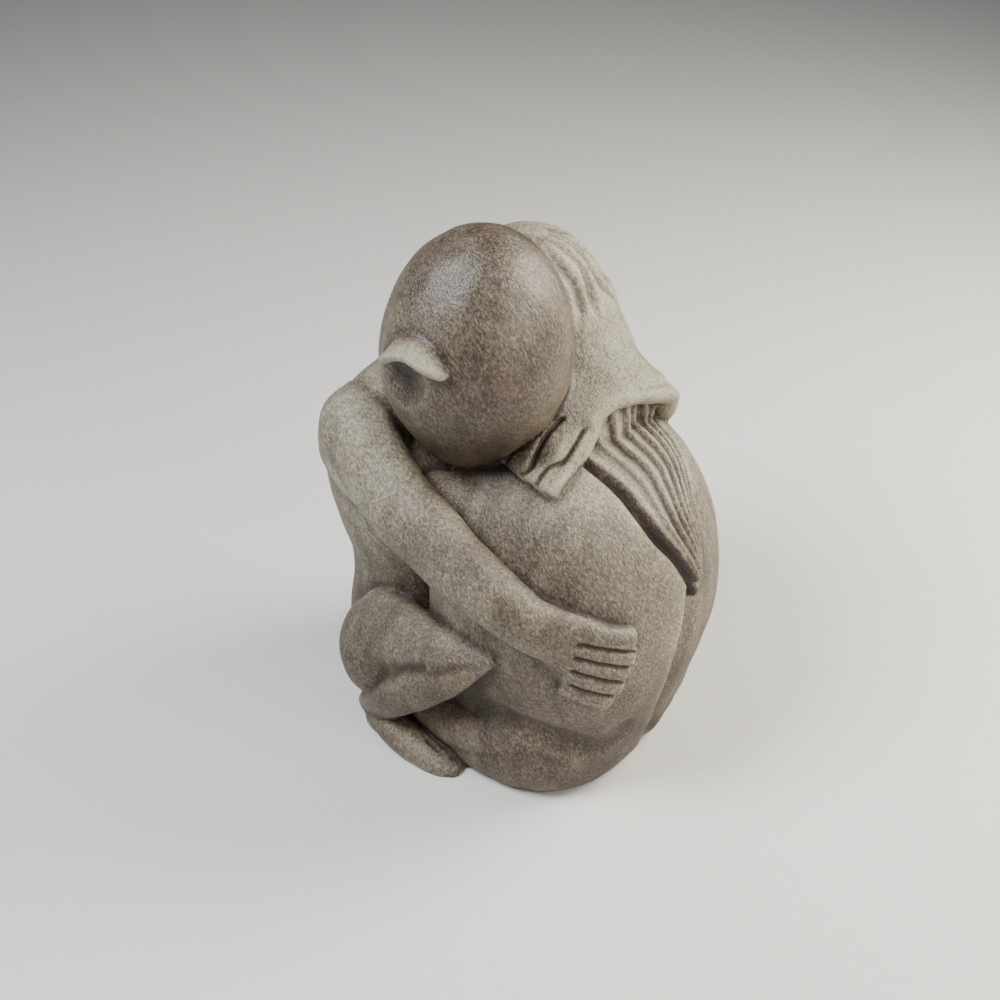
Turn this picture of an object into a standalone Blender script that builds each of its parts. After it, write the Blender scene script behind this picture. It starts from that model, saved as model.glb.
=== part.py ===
"""A carved wooden embrace: two seated figures hold each other, cut from one block of wood.

The man faces +X and the woman faces -X. The photograph's near side is -Y. Figures and carving are laid out
on a grid of one 204th of the height, with the table at Z = 0. The finished block is centred on X = Y = 0.
"""

import itertools
import math

import bmesh
import bpy
import numpy as np
from mathutils import Matrix, Vector
from mathutils.bvhtree import BVHTree

HEIGHT = 0.200  # table to the crown of the man's head
GRID = HEIGHT / 204  # one step of the carving grid
FUSE_STEP = 1.1  # fineness of the fused skin, in grid steps
TRIANGLES = 9400  # most triangles on the finished solid
WOOD_COLOUR = (0.36, 0.31, 0.25, 1.0)
WOOD_ROUGHNESS = 0.62

X_AXIS = (1.0, 0.0, 0.0)
Y_AXIS = (0.0, 1.0, 0.0)
Z_AXIS = (0.0, 0.0, 1.0)

# Upright masses, each level: height, centre along X and Y, half size along X and Y
WOMAN_BODY = (
    (-6, 24, 0, 32, 43),
    (0, 24.5, 0, 36, 47),
    (5, 25, 0, 38.5, 50.5),
    (12, 25.5, 0, 40, 52),
    (20, 26.5, 0, 41.8, 50.5),
    (32, 27.5, 0, 44, 46.5),
    (43, 28.5, 0, 46, 49),
    (54, 29.5, 0, 46.8, 51.5),
    (66, 30, 0, 47, 52),
    (77, 30, 0, 46, 51),
    (90, 30, 0, 44, 48.5),
    (101, 29, 0, 41, 45.5),
    (112, 27, 0, 36, 42),
    (120, 24, 0, 29, 37),
    (127, 20, 0, 18, 30),
)
MAN_BODY = (
    (-6, -29, 0, 24, 30),
    (0, -30, 0, 28.5, 33),
    (8, -30.5, 0, 31, 36),
    (20, -31, 0, 32, 37.5),
    (34, -31, 0, 31, 37),
    (48, -31, 0, 29, 35),
    (62, -31, 0, 29.5, 35.5),
    (78, -31, 0, 32.5, 40),
    (92, -31, 0, 34.5, 43),
    (104, -31, 0, 34.5, 43.5),
    (116, -31, 0, 31, 42),
    (126, -29, 0, 23, 36),
)
WOMAN_SQUARENESS = 2.5
MAN_SQUARENESS = 2.3
WOMAN_NAPE = (
    (116, 20, 4, 22, 28),
    (128, 19.5, 9, 22, 27),
    (138, 16.5, 13, 23.5, 26.5),
    (148, 10, 15, 26, 27),
    (158, 1, 16, 28, 27.3),
)

# Heads, each: centre, half sizes, how much narrower at the chin than above, and lean forward in degrees
MAN_HEAD = ((5, -25, 160.2), (31.5, 30.5, 44), 0.34, 8)
WOMAN_HEAD = ((-2, 16, 154.5), (28.5, 27.5, 32), 0.0, 0)

# Limbs, each row: x, y, z, half width and half thickness
NEAR_ARM = (
    (-35, -33, 121, 12, 12),
    (-31, -43.5, 129, 14, 13),
    (-17, -50, 119, 13.5, 12),
    (-3, -54, 112, 13, 11.5),
    (8, -55.5, 107, 12.8, 11),
    (19, -56.5, 101, 12.2, 10.5),
    (32, -56.5, 95, 11, 9.5),
    (44, -54, 87.5, 10, 7.6),
    (52, -49.5, 82, 10.8, 5.6),
    (58, -44.6, 77, 12, 4.2),
    (62, -41, 73, 12.4, 3.2),
)
FAR_UPPER_ARM = (
    (-35, 33, 121, 12, 12), (-31, 44, 129, 14, 13.5), (-14, 49, 121, 13, 12),
    (10, 48.5, 115, 12, 11), (28, 43, 116.5, 10.5, 9.5), (39, 36.5, 123, 7, 7),
    (44, 32, 129.5, 4.2, 5),
)
FAR_FOREARM = (
    (44.5, 31.5, 130.8, 6, 3.4), (42, 24, 135.5, 8, 4.4), (38.5, 12, 139.8, 8.5, 4.6),
    (35, 1, 141.6, 9, 4.6), (32, -8, 139.5, 10, 4.4),
)
# The far hand's back, its width taken along PALM_ACROSS.
PALM = (
    (32, 4, 146, 9, 4.6),
    (32.2, -4, 142.6, 10, 4.8),
    (31.8, -11.5, 138.6, 11.4, 4.6),
    (30.8, -18.4, 135.2, 12.6, 4),
    (30.4, -24.4, 131.8, 13, 3),
)
PALM_ACROSS = (0.83, 0.41, -0.38)
# What spreads over the far elbow: its line on her shoulder and its free lower edge.
FLARE_TOP = ((29, -3, 147), (29.5, 6, 152.5), (29, 16, 153.5), (29, 24, 149.5), (31, 30, 142))
FLARE_EDGE = ((39.5, 0, 141.5), (43, 8, 142.6), (46, 17, 140.6), (47.3, 25, 137.6), (45.3, 31, 132.8))
FLARE_THICKNESS = 5
SLEEVE = (
    (39, 31, 133, 6, 6), (34, 22, 139, 9, 8), (29, 11, 143, 10, 8), (25, 1, 145, 9, 7),
)
THIGH = ((-26, -40, 40, 17, 15), (-6, -47, 50, 12.5, 11), (12, -51, 57, 9, 8), (29, -52, 62, 2.6, 2.6))
KNEE_TOP = ((30, -49, 62), (20, -51.5, 60), (12, -54, 58), (7, -54.5, 56.5))
KNEE_UNDER = ((30, -49, 61), (20, -52, 54.5), (12, -55, 49.5), (7, -55.5, 47.5))
KNEE_THICKNESS = 10.5  # of the wood that joins thigh and shin behind the knee
SHIN = (
    (29, -52, 61.4, 2.6, 2.6),
    (10, -53, 46, 8.5, 8.4),
    (-10, -51.5, 28, 9.5, 8.4),
    (-28, -46, 9, 7.5, 7),
)
SHIN_TILT = 0.5  # its ridge is turned up by this share
FOOT = (
    (-26, -47, 6, 6, 7), (-12, -51.8, 5.5, 6, 5.8), (0, -52.8, 4, 6.4, 5.2),
    (8, -52.3, 2.4, 6, 4.2), (13, -51.3, 1, 4.4, 3),
)
WOMAN_THIGH = ((40, -30, 17, 19, 17), (24, -35, 17, 17, 16), (8, -37, 16, 15, 14), (-4, -36, 15, 12.5, 12),
               (-18, -32, 13, 12, 11))
WOMAN_ARM = (
    (12, -24, 100, 11, 10),
    (-4, -30, 99, 10, 9),
    (-28, -39, 103, 10, 8.5),
    (-48, -34, 108, 9, 7),
    (-60, -22, 109, 9, 5),
    (-64, -8, 109, 10, 3.5),
)
WOMAN_NOSE = ((-27, 16, 163, 1.6, 2), (-29.5, 16, 157, 1.8, 2.4), (-31, 16, 151.5, 2.6, 2.6))
EAR_ROOT = ((-12, -48, 163.5), (-5.8, -49, 173.6), (1.5, -49.5, 177), (6.8, -50, 176.6), (11, -50.5, 174),
            (14, -50, 169))
EAR_RIM = ((-9.5, -56, 166.8), (0, -60.5, 172.8), (5.7, -61.8, 174.2), (9.5, -61.2, 172.6), (12.5, -59.6, 170.6),
           (15, -55.8, 168))
EAR_THICKNESS = 3.6
EAR_HOLLOW = ((-3.5, -57, 163), 12.5, 4.2)  # centre, reach and depth of the hollow in front of the ear
SHOULDERS = ((-31, -42, 126, 14, 14), (-29, -20, 131, 16, 15), (-29, 4, 131, 16, 15), (-31, 42, 126, 14, 14))
NECK = ((-27, -8, 126, 17, 15), (-16, -16, 142, 18, 16), (-4, -22, 154, 20, 18))

# Fingers, each: knuckle, end and width. They lie on the other figure's back.
NEAR_FINGERS = (
    ((55, -44.6, 83.9), (69.8, -30.8, 76.6), 8.4), ((55.5, -45.5, 78.6), (70.6, -31.2, 70.5), 8),
    ((55.5, -46.5, 73.5), (69.8, -33.6, 65.3), 7.6), ((55.5, -47, 68), (68.9, -34.8, 59.6), 7.6),
    ((55.5, -47, 62.3), (66.8, -36.8, 54.6), 7.4),
)
FAR_FINGERS = (
    ((21.5, -13, 137), (19.6, -29.5, 127.9), 7.6), ((26.5, -12, 137), (24.6, -31, 126.4), 7.6),
    ((31.5, -10, 136), (30.6, -32, 124.2), 8), ((36.2, -6, 132.8), (36.9, -32.4, 122.6), 8.6),
)
WOMAN_FINGERS = (
    ((-62, -4, 115), (-64, 10, 118), 7.4), ((-64, -3, 110.5), (-65, 14, 111.5), 7.4),
    ((-64, -3, 106), (-66, 14, 105), 7.4), ((-65, -4, 101.5), (-66, 10, 98.5), 7.4),
)
CORE = ((-2, 36, 106), (12.5, 11, 10))  # wood left between the bodies under each arm: centre and half sizes
FLARE_CORE = ((36, 26, 126), (7, 8, 7))  # and under the far forearm
LEG_CORE = ((-5, 41, 32), (9, 6, 10))  # and between thigh and shin
FAR_HAND_DROP = 32  # the far hand lies this much lower on the man's back than the near one
FAR_WOMAN_FINGERS = tuple(
    ((x, -y, z - FAR_HAND_DROP), (end_x, -end_y, end_z - FAR_HAND_DROP), width)
    for (x, y, z), (end_x, end_y, end_z), width in WOMAN_FINGERS
)
FINGER_THICKNESS = 5.6
FINGER_LIFT = 1.0  # middle of a finger above the skin it lies on
GAP_WIDTH = 1.2  # half width of the groove between two fingers
GAP_DEPTH = 1.5

# Carved lines, each: half width, depth and the points the line runs through
CARVED_LINES = (
    (7, 1.3, ((14, -52, 31), (28, -50, 34), (39.5, -47, 33), (50, -43, 31), (60, -33, 26), (66, -24, 30))),
    (6, 1.6, ((-60, 0, 74), (-60, 0, 55), (-59, 0, 35), (-57, 0, 12))),
    (1.4, 1.0, ((1, -52.3, 8.8), (5, -53, 7.2), (9.5, -54.3, 4.6), (13, -55, 1.5))),
)
SPINE_EDGE = ((82, -1), (77.6, -2.3), (70, -4.7), (64, -6.8), (54, -8.4), (36, -9.4), (12, -6), (-2, -5))
SPINE_WIDTH = 11  # from the sharp edge of the spine's groove to where it runs out
SPINE_DEPTH = 3.4
HAIR_WAVES = 7  # carved lines over the back of the woman's head
HAIR_WAVE_WIDTH = 2.8
HAIR_WAVE_DEPTH = 1.3

# Places where masses run into each other without a crease, each: centre and reach
BLENDS = (
    ((27, 17, 148), 21),
    ((36, 27, 141), 11),
    ((22, 20, 150), 20),
    ((16, 4, 146), 16),
    ((2, -40, 116), 12),
    ((50, -50, 83), 11),
    ((-22, -48, 47), 18),
    ((55, -47, 73), 12),
    ((33, -2, 143), 13),
    ((31, -16, 138), 9),
)
BLEND_STEPS = 40

# Fine carving that keeps more faces when the skin is thinned, each: centre and reach
FINE_PLACES = (
    ((64, -38, 68), 20),
    ((32, -25, 130), 17),
    ((56, 2, 124), 24),
    ((72, 2, 98), 22),
    ((3, -56, 170), 13),
    ((-65, 0, 84), 24),
    ((16, 16, 168), 22),
    ((10, -52, 45), 16),
)
FINE_CARE = 0.003  # how strongly the fine places are kept

# The loose hair on her back. The way down it is measured along BACK_WAY, and each row of edges gives
# that measure and how far along Y the leaf reaches on its two sides. Crests are shares of its width.
BACK_WAY = (-0.588, 0.0, 0.809)
HAIR_EDGES = (
    (15.5, 4.4, 6.0),
    (19, 2.6, 8.6),
    (24, 0.2, 10.8),
    (34, -5.2, 11.8),
    (41, -9, 13),
    (48, -11.5, 15.1),
    (57, -12.9, 21.5),
    (64, -12.5, 26),
    (77, -13.2, 30),
    (92, -14, 33),
)
HAIR_CRESTS = (0, 0.22, 0.385, 0.55, 0.70, 0.83, 0.93, 1.0)
HAIR_LIFT = 2.6
PLEAT_DEPTH = 1.9
RISER = 1.5  # width of the small step up to the next crest
EDGE_RAMP = 0.8
UNDERCUT_WIDTH = 3.2
UNDERCUT_DEPTH = 2.0
UNDERCUT_TO = 84  # nothing is cut away beside the hand
FIRST_PLEAT = 0.55  # the first pleat falls this much of the others' depth


def between_rows(rows, steps):
    """A smooth curve through the rows, with the given number of steps from each row to the next."""
    rows = np.asarray(rows, float)
    padded = np.vstack([2 * rows[0] - rows[1], rows, 2 * rows[-1] - rows[-2]])
    points = []
    for before, here, there, after in zip(padded, padded[1:], padded[2:], padded[3:]):
        for t in np.linspace(0, 1, steps, endpoint=False):
            points.append(
                0.5 * (2 * here + (there - before) * t + (2 * before - 5 * here + 4 * there - after) * t**2
                       + (3 * here - before - 3 * there + after) * t**3)
            )
    points.append(rows[-1])
    return np.array(points)


def rounded_section(sides, squareness):
    """A unit oval: 2 is an ellipse, more is squarer, less has a ridge along each side."""
    angle = np.linspace(0, 2 * np.pi, sides, endpoint=False)
    power = 2 / squareness
    across = np.sign(np.cos(angle)) * np.abs(np.cos(angle)) ** power
    up = np.sign(np.sin(angle)) * np.abs(np.sin(angle)) ** power
    return across, up


def lofted(rows, across, squareness=2.0, dome=0.7, steps=5, sides=28):
    """A closed skin along a path. A row is x, y, z, half width along `across` and half thickness."""
    spine = between_rows(rows, steps)
    tangent = np.gradient(spine[:, :3], axis=0)
    tangent /= np.linalg.norm(tangent, axis=1)[:, None]
    rings = [(p[:3], t, p[3], p[4]) for p, t in zip(spine, tangent)]
    for end, sign in ((0, -1), (-1, 1)):
        p, t = spine[end], tangent[end]
        reach = dome * min(p[3], p[4])
        tips = [
            (p[:3] + sign * t * reach * math.sin(a), t, p[3] * math.cos(a), p[4] * math.cos(a))
            for a in np.radians((22, 45, 66, 84))
        ]
        rings = tips[::-1] + rings if sign < 0 else rings + tips
    wide, thick = rounded_section(sides, squareness)
    bm = bmesh.new()
    loops = []
    for centre, along, half_wide, half_thick in rings:
        side = np.array(across, float) - np.dot(across, along) * along
        side /= np.linalg.norm(side)
        up = np.cross(along, side)
        ring = centre + np.outer(wide * half_wide, side) + np.outer(thick * half_thick, up)
        loops.append([bm.verts.new(point * GRID) for point in ring])
    for lower, upper in zip(loops, loops[1:]):
        for i in range(sides):
            j = (i + 1) % sides
            bm.faces.new((lower[i], lower[j], upper[j], upper[i]))
    bm.faces.new(loops[0][::-1])
    bm.faces.new(loops[-1])
    bmesh.ops.recalc_face_normals(bm, faces=bm.faces)
    return bm


def standing(levels, squareness=2.0):
    """A closed skin through level sections, each: z, x, y, half size along X and along Y."""
    curve = between_rows(levels, 5)
    bottom, top = curve[0], curve[-1]
    reach = 0.7 * min(top[3], top[4])
    tips = [
        (top[0] + reach * math.sin(a), top[1], top[2], top[3] * math.cos(a), top[4] * math.cos(a))
        for a in np.radians((15, 30, 45, 60, 75, 86))
    ]
    wide, thick = rounded_section(48, squareness)
    bm = bmesh.new()
    loops = []
    for z, x, y, half_long, half_wide in [*curve, *tips]:
        loops.append(
            [bm.verts.new(Vector((x + a * half_long, y + b * half_wide, z)) * GRID) for a, b in zip(wide, thick)]
        )
    for lower, upper in zip(loops, loops[1:]):
        for i in range(48):
            j = (i + 1) % 48
            bm.faces.new((lower[i], lower[j], upper[j], upper[i]))
    bm.faces.new(loops[0][::-1])
    bm.faces.new(loops[-1])
    bmesh.ops.recalc_face_normals(bm, faces=bm.faces)
    return bm


def ball(centre, radii, turn=(0, 0, 0)):
    """An ellipsoid, turned by degrees about X, then Y, then Z."""
    bm = bmesh.new()
    turned = Matrix.Identity(4)
    for axis, degrees in zip("XYZ", turn):
        turned = Matrix.Rotation(math.radians(degrees), 4, axis) @ turned
    stretch = Matrix.Diagonal((*[r * GRID for r in radii], 1.0))
    place = Matrix.Translation(Vector(centre) * GRID)
    bmesh.ops.create_uvsphere(bm, u_segments=32, v_segments=18, radius=1.0, matrix=place @ turned @ stretch)
    return bm


def egg(centre, radii, taper, lean):
    """A head: an ellipsoid that narrows downwards by the taper and leans forward by degrees about Y."""
    bm = bmesh.new()
    bmesh.ops.create_uvsphere(bm, u_segments=40, v_segments=24, radius=1.0)
    for vertex in bm.verts:
        narrow = 1 - taper * min(vertex.co.z, 0.0) ** 2
        vertex.co = Vector((vertex.co.x * radii[0] * narrow, vertex.co.y * radii[1] * narrow, vertex.co.z * radii[2])) * GRID
    place = Matrix.Translation(Vector(centre) * GRID) @ Matrix.Rotation(math.radians(lean), 4, "Y")
    bmesh.ops.transform(bm, matrix=place, verts=bm.verts)
    return bm


def mirrored(rows):
    """The same rows on the other side of the embrace."""
    return [(row[0], -row[1], *row[2:]) for row in rows]


def laid_on(tree, point, lift):
    """The nearest place on a skin, raised by the lift; also which way the skin faces there."""
    place, normal, _, _ = tree.find_nearest(Vector(point) * GRID)
    return place / GRID + normal * lift, normal


def finger(tree, knuckle, end, width):
    """A squared finger that lies on the skin from its knuckle to its end."""
    rows = []
    for t in (0, 0.2, 0.4, 0.6, 0.8, 1.0):
        point, facing = laid_on(tree, Vector(knuckle).lerp(Vector(end), t), FINGER_LIFT + 0.4 * math.sin(math.pi * t))
        rows.append((*point, width / 2, FINGER_THICKNESS / 2))
    across = facing.cross(Vector(end) - Vector(knuckle)).normalized()
    return lofted(rows, across, 3.6, dome=0.3, steps=3, sides=20)


def finger_gaps(tree, fingers):
    """The grooves between neighbouring fingers, on top of the hand."""
    for (knuckle, end, _), (next_knuckle, next_end, _) in zip(fingers, fingers[1:]):
        points = []
        for t in (0.25, 0.45, 0.65, 0.85, 1.1):
            here, there = Vector(knuckle).lerp(Vector(end), t), Vector(next_knuckle).lerp(Vector(next_end), t)
            point, _ = laid_on(tree, (here + there) / 2, FINGER_LIFT + FINGER_THICKNESS / 2)
            points.append(tuple(point))
        yield GAP_WIDTH, GAP_DEPTH, points


def flap(root, rim, thickness):
    """A curved flap of even thickness between two lines, such as an ear's root and its rim."""
    inner, outer = between_rows(root, 4), between_rows(rim, 4)
    along, across = np.gradient((inner + outer) / 2, axis=0), outer - inner
    facing = np.cross(along, across)
    facing *= thickness / 2 / np.linalg.norm(facing, axis=1)[:, None]
    rings = np.stack([inner + facing, outer + 0.8 * facing, outer - 0.8 * facing, inner - facing], axis=1) * GRID
    bm = bmesh.new()
    loops = [[bm.verts.new(point) for point in ring] for ring in rings]
    for lower, upper in zip(loops, loops[1:]):
        for i in range(4):
            j = (i + 1) % 4
            bm.faces.new((lower[i], lower[j], upper[j], upper[i]))
    bm.faces.new(loops[0][::-1])
    bm.faces.new(loops[-1])
    bmesh.ops.recalc_face_normals(bm, faces=bm.faces)
    return bm


def hair_waves():
    """Lines that run over the woman's head from the crown to the nape, each with a slow sway."""
    centre, radii, _, _ = WOMAN_HEAD
    for wave in range(HAIR_WAVES):
        side = math.radians(-62 + 124 * wave / (HAIR_WAVES - 1))
        points = []
        for t in np.linspace(0, 1, 12):
            lean = math.radians(14 + 68 * t)
            sway = side + 0.09 * math.sin(7 * t + 1.7 * wave)
            across = math.sin(lean) * math.sin(sway)
            back = math.sin(lean) * math.cos(sway)
            points.append(
                (centre[0] + radii[0] * back, centre[1] + radii[1] * across, centre[2] + radii[2] * math.cos(lean))
            )
        yield HAIR_WAVE_WIDTH, HAIR_WAVE_DEPTH, points


def masses():
    """Every rounded mass of the two figures, before they are fused."""
    back = standing(WOMAN_BODY, WOMAN_SQUARENESS)
    tree = BVHTree.FromBMesh(back)
    yield back
    man_back = standing(MAN_BODY, MAN_SQUARENESS)
    man_tree = BVHTree.FromBMesh(man_back)
    yield man_back
    yield egg(*MAN_HEAD)
    yield flap(EAR_ROOT, EAR_RIM, EAR_THICKNESS)
    yield egg(*WOMAN_HEAD)
    yield standing(WOMAN_NAPE)
    yield lofted(WOMAN_NOSE, Y_AXIS)
    yield lofted(SHOULDERS, Z_AXIS)
    yield lofted(NECK, Y_AXIS)
    yield lofted(NEAR_ARM, Z_AXIS)
    yield lofted(FAR_UPPER_ARM, Z_AXIS)
    yield lofted(FAR_FOREARM, X_AXIS)
    yield lofted(SLEEVE, X_AXIS)
    yield lofted(PALM, PALM_ACROSS, 2.4)
    yield flap(FLARE_TOP, FLARE_EDGE, FLARE_THICKNESS)
    yield ball(*FLARE_CORE)
    for knuckle, end, width in NEAR_FINGERS + FAR_FINGERS:
        yield finger(tree, knuckle, end, width)
    far_arm = [(x, -y, z - FAR_HAND_DROP * share, wide, thick) for (x, y, z, wide, thick), share in
               zip(WOMAN_ARM, (0, 0.2, 0.5, 0.8, 1, 1))]
    yield lofted(WOMAN_ARM, Z_AXIS)
    yield lofted(far_arm, Z_AXIS)
    for knuckle, end, width in WOMAN_FINGERS + FAR_WOMAN_FINGERS:
        yield finger(man_tree, knuckle, end, width)
    for side in (-1, 1):
        yield ball((LEG_CORE[0][0], side * LEG_CORE[0][1], LEG_CORE[0][2]), LEG_CORE[1])
        yield ball((CORE[0][0], side * CORE[0][1], CORE[0][2]), CORE[1])
    for side in (list, mirrored):
        yield ball((-27, -41 if side is list else 41, 33), (17, 16, 22))
        yield lofted(side(THIGH), Z_AXIS, 1.7)
        yield flap(side(KNEE_TOP), side(KNEE_UNDER), KNEE_THICKNESS)
        yield lofted(side(SHIN), (0, SHIN_TILT if side is list else -SHIN_TILT, 1), 1.6)
        yield lofted(side(FOOT), Y_AXIS, 3.0)
        yield lofted(side(WOMAN_THIGH), Y_AXIS)


def join(parts, name):
    """One mesh object of all the masses, still overlapping."""
    whole = bmesh.new()
    for part in parts:
        scratch = bpy.data.meshes.new("mass")
        part.to_mesh(scratch)
        part.free()
        whole.from_mesh(scratch)
        bpy.data.meshes.remove(scratch)
    mesh = bpy.data.meshes.new(name)
    whole.to_mesh(mesh)
    whole.free()
    obj = bpy.data.objects.new(name, mesh)
    bpy.context.scene.collection.objects.link(obj)
    return obj


def settled(obj):
    """Applies the object's modifiers to its mesh."""
    bpy.context.view_layer.update()
    evaluated = obj.evaluated_get(bpy.context.evaluated_depsgraph_get())
    mesh = bpy.data.meshes.new_from_object(evaluated)
    obj.modifiers.clear()
    obj.data = mesh


def fuse(obj):
    """Grows one skin round the overlapping masses and softens the creases between them."""
    skin = obj.modifiers.new("Skin", "REMESH")
    skin.mode = "VOXEL"
    skin.voxel_size = FUSE_STEP * GRID
    soften = obj.modifiers.new("Soften", "SMOOTH")
    soften.factor = 0.5
    soften.iterations = 2
    settled(obj)


def read_points(mesh, what="co"):
    """A mesh's points, or its normals, as rows."""
    flat = np.empty(len(mesh.vertices) * 3)
    mesh.vertices.foreach_get(what, flat)
    return flat.reshape(-1, 3)


def blend(obj):
    """Runs neighbouring masses together: each point moves towards the mean of its neighbours, most mid-blend."""
    mesh = obj.data
    points = read_points(mesh) / GRID
    share = np.zeros(len(points))
    for centre, reach in BLENDS:
        near = np.linalg.norm(points - np.array(centre), axis=1) / reach
        share = np.maximum(share, np.clip(1.6 * (1 - near**2), 0, 1))
    flat = np.empty(len(mesh.edges) * 2, np.int32)
    mesh.edges.foreach_get("vertices", flat)
    one, other = flat.reshape(-1, 2).T
    count = np.bincount(flat, minlength=len(points))[:, None]
    for _ in range(BLEND_STEPS):
        total = np.zeros_like(points)
        for axis in range(3):
            total[:, axis] = np.bincount(one, points[other, axis], len(points))
            total[:, axis] += np.bincount(other, points[one, axis], len(points))
        points += 0.5 * share[:, None] * (total / count - points)
    mesh.vertices.foreach_set("co", (points * GRID).ravel())
    mesh.update()


def distance_to_line(points, line):
    """Distance from every point to the nearest place on a line of short straight runs."""
    nearest = np.full(len(points), np.inf)
    for start, end in zip(line, line[1:]):
        run = end - start
        share = np.clip((points - start) @ run / (run @ run), 0, 1)
        nearest = np.minimum(nearest, np.linalg.norm(points - (start + share[:, None] * run), axis=1))
    return nearest


def hair_relief(points):
    """How far the loose hair stands off her back: pleats like overlapping slats, and a cut under its near edge."""
    way = points @ np.array(BACK_WAY)
    edges = between_rows(HAIR_EDGES, 6)
    low, high = (np.interp(way, edges[:, 0], edges[:, side]) for side in (1, 2))
    width = high - low
    share = (points[:, 1] - low) / width
    crests = np.array(HAIR_CRESTS)
    slat = np.clip(np.searchsorted(crests, share, side="right") - 1, 0, len(crests) - 2)
    slat_width = (crests[slat + 1] - crests[slat]) * width
    along = np.clip((share - crests[slat]) * width, 0, slat_width)
    riser = np.minimum(RISER, 0.5 * slat_width)
    fall = np.minimum(along / (slat_width - riser), (slat_width - along) / riser)
    tip, top = HAIR_EDGES[0][0], HAIR_EDGES[-1][0]
    thick = 0.45 + 0.55 * np.clip((top - way) / 45, 0, 1)
    depth = PLEAT_DEPTH * np.clip(slat_width / 3.5, 0, 1) * np.where(slat == 0, FIRST_PLEAT, 1)
    raised = HAIR_LIFT * thick * np.clip((1 - share) / 0.55, 0, 1) - np.where(share > 0, depth * fall, 0)
    raised *= np.clip(share * width / EDGE_RAMP, 0, 1) * (share < 1) * np.clip((way - tip) / 8, 0.4, 1)
    outside = np.clip((low - points[:, 1]) / UNDERCUT_WIDTH, 0, 1)
    cut = UNDERCUT_DEPTH * thick * np.sin(np.pi * outside**0.6) * np.clip((UNDERCUT_TO - way) / 8, 0, 1)
    return (raised - cut) * np.clip(way - tip, 0, 1) * (way < top)


def spine_cut(points):
    """How deep the groove down her spine is: a sharp edge on the near side and a long slope beyond it."""
    rows = np.array(SPINE_EDGE[::-1])
    past = points[:, 1] - np.interp(points[:, 2], rows[:, 0], rows[:, 1])
    cut = SPINE_DEPTH * np.where(past < 0, np.clip(1 + past / 1.0, 0, 1), np.clip(1 - past / SPINE_WIDTH, 0, 1))
    return np.where((points[:, 0] > 48) & (points[:, 2] < SPINE_EDGE[0][0]), cut, 0)


def carve(obj, lines, back):
    """Presses the skin inwards along each line, deepest in the middle, and cuts the loose hair, spine and ear."""
    mesh = obj.data
    points, normals = read_points(mesh) / GRID, read_points(mesh, "normal")
    sunk = np.zeros(len(points))
    for half_width, depth, line in lines:
        run = between_rows(line, 6)
        if half_width == GAP_WIDTH:  # these are laid on the joined skin
            run = np.array([points[np.argmin(np.linalg.norm(points - place, axis=1))] for place in run])
            run[1:-1] = (run[:-2] + 2 * run[1:-1] + run[2:]) / 4
        near = distance_to_line(points, run) / half_width
        sunk = np.maximum(sunk, depth * np.clip(1 - near**2, 0, 1) ** 1.5)
    centre, reach, depth = EAR_HOLLOW
    near = np.linalg.norm(points - np.array(centre), axis=1) / reach
    on_head = np.linalg.norm((points - np.array(MAN_HEAD[0])) / np.array(MAN_HEAD[1]), axis=1) < 1.03
    sunk = np.maximum(sunk, np.where(on_head, depth * np.clip(1 - near**2, 0, 1) ** 1.5, 0))
    on_back = np.zeros(len(points))
    for i in np.flatnonzero((points[:, 0] > 30) & (points[:, 2] < 139) & (np.abs(points[:, 1]) < 34)):
        hits = (skin.find_nearest(Vector(points[i]) * GRID) for skin in back)
        _, facing, _, distance = min(hits, key=lambda hit: hit[3])
        alike = min(max((abs(facing.dot(Vector(normals[i]))) - 0.6) / 0.25, 0), 1)
        on_back[i] = min(max(2.4 - distance / GRID, 0), 1) * alike
    sunk += on_back * (spine_cut(points) - hair_relief(points))
    points = (points - normals * sunk[:, None]) * GRID
    mesh.vertices.foreach_set("co", points.ravel())
    mesh.update()


def thin_out(obj):
    """Keeps the form with few faces."""
    mesh = obj.data
    points = read_points(mesh) / GRID
    fine = np.zeros(len(points), bool)
    for centre, reach in FINE_PLACES:
        fine |= np.linalg.norm(points - np.array(centre), axis=1) < reach
    kept = obj.vertex_groups.new(name="fine carving")
    kept.add(np.flatnonzero(~fine).tolist(), 1.0, "REPLACE")
    kept.add(np.flatnonzero(fine).tolist(), 0.5, "REPLACE")
    mesh.calc_loop_triangles()
    thin = obj.modifiers.new("Thin", "DECIMATE")
    thin.ratio = TRIANGLES / len(mesh.loop_triangles)
    thin.vertex_group = kept.name
    thin.vertex_group_factor = FINE_CARE
    settled(obj)


def cut_base(obj):
    """Saws the underside flat at Z = 0 and centres the block over the origin."""
    bm = bmesh.new()
    bm.from_mesh(obj.data)
    saw = bmesh.ops.bisect_plane(
        bm, geom=bm.verts[:] + bm.edges[:] + bm.faces[:], plane_co=(0, 0, 0), plane_no=(0, 0, 1), clear_inner=True
    )
    rim = [part for part in saw["geom_cut"] if isinstance(part, bmesh.types.BMEdge)]
    bmesh.ops.holes_fill(bm, edges=rim, sides=0)
    bmesh.ops.dissolve_degenerate(bm, edges=bm.edges[:], dist=0.02 * GRID)
    bmesh.ops.triangulate(bm, faces=bm.faces[:])
    bmesh.ops.recalc_face_normals(bm, faces=bm.faces)
    low = [min(vertex.co[axis] for vertex in bm.verts) for axis in range(3)]
    high = [max(vertex.co[axis] for vertex in bm.verts) for axis in range(3)]
    middle = Vector(((low[0] + high[0]) / 2, (low[1] + high[1]) / 2, 0))
    bmesh.ops.translate(bm, vec=-middle, verts=bm.verts)
    bm.to_mesh(obj.data)
    bm.free()
    obj["carving_origin"] = list(-middle)


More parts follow.
